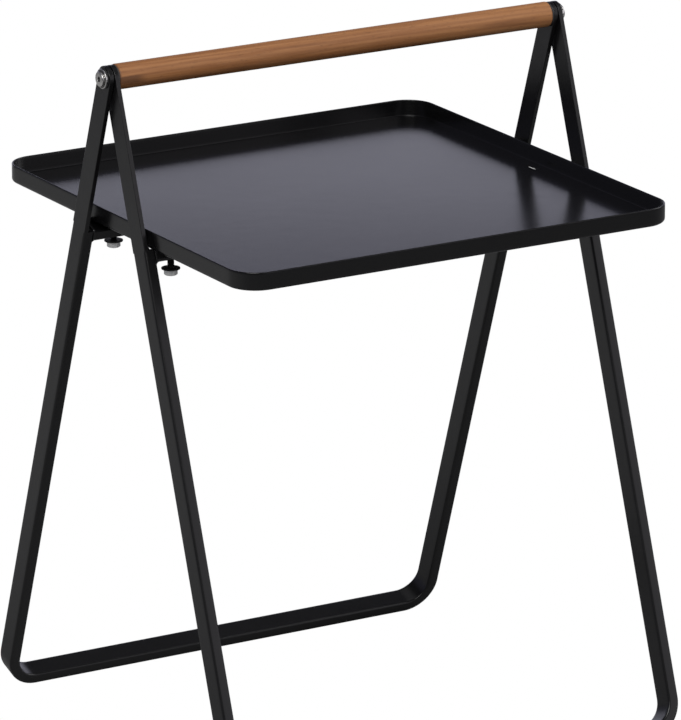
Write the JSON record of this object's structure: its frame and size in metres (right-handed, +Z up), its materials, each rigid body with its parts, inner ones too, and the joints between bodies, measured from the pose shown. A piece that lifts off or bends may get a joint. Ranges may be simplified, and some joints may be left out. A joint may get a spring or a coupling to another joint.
{
  "type": "folding tray table",
  "caption": "Folding tray table: black powder-coated rimmed tray on two leaning bent-tube frames that swing on the ends of a turned teak handle.",
  "frame": {"origin": "on the floor under the middle of the table", "axes": "+Z up, +X along the handle to the right, +Y to the back"},
  "size_m": [0.4544, 0.4284, 0.6086],
  "materials": {
    "coated_sheet": "satin black powder coat on steel sheet",
    "coated_tube": "satin black powder coat on steel tube and flat bar",
    "black_steel": "black oxide steel fastener",
    "zinc_steel": "bright zinc plate",
    "bright_steel": "stainless steel, turned",
    "insert_brass": "plain",
    "nylon": "black nylon",
    "teak_wood": "oiled teak, turned"
  },
  "bodies": {
    "handle": {"handle_dowel": "teak_wood", "handle_insert_left": "insert_brass", "handle_insert_right": "insert_brass", "pivot_bolt_left": "bright_steel", "pivot_bolt_right": "bright_steel", "outer_washer_left": "bright_steel", "outer_washer_right": "bright_steel", "bearing_washer_left": "nylon", "bearing_washer_right": "nylon", "middle_washer_left": "nylon", "middle_washer_right": "nylon", "inner_washer_left": "nylon", "inner_washer_right": "nylon"},
    "back_frame": {"back_leg_tube": "coated_tube", "back_crossbar": "coated_tube", "back_arm_left": "coated_tube", "back_arm_right": "coated_tube"},
    "front_frame": {"front_leg_tube": "coated_tube", "front_crossbar": "coated_tube", "front_arm_left": "coated_tube", "front_arm_right": "coated_tube"},
    "tray_body": {"tray": "coated_sheet", "tray_stud_back_left": "black_steel", "tray_stud_back_right": "black_steel", "tray_stud_front_left": "black_steel", "tray_stud_front_right": "black_steel", "stud_washer_back_left": "black_steel", "stud_washer_back_right": "black_steel", "stud_washer_front_left": "black_steel", "stud_washer_front_right": "black_steel", "stud_nut_back_left": "zinc_steel", "stud_nut_back_right": "zinc_steel", "stud_nut_front_left": "zinc_steel", "stud_nut_front_right": "zinc_steel"}
  },
  "joints": [
    {"name": "fold", "type": "hinge", "parent": "handle", "child": "back_frame", "pos_m": [0, 0, 0.59761], "axis": [-1, 0, 0], "range_deg": [0, 14.7]},
    {"name": "front_fold", "type": "hinge", "parent": "handle", "child": "front_frame", "pos_m": [0, 0, 0.59761], "axis": [1, 0, 0], "range_deg": [0, 14.7]},
    {"name": "tray_lift", "type": "slide", "parent": "handle", "child": "tray_body", "axis": [0, 0, 1], "range_m": [0, 0.004]}
  ],
  "couplings": [
    {"joint": "front_fold", "follows": "fold", "ratio": 1}
  ]
}
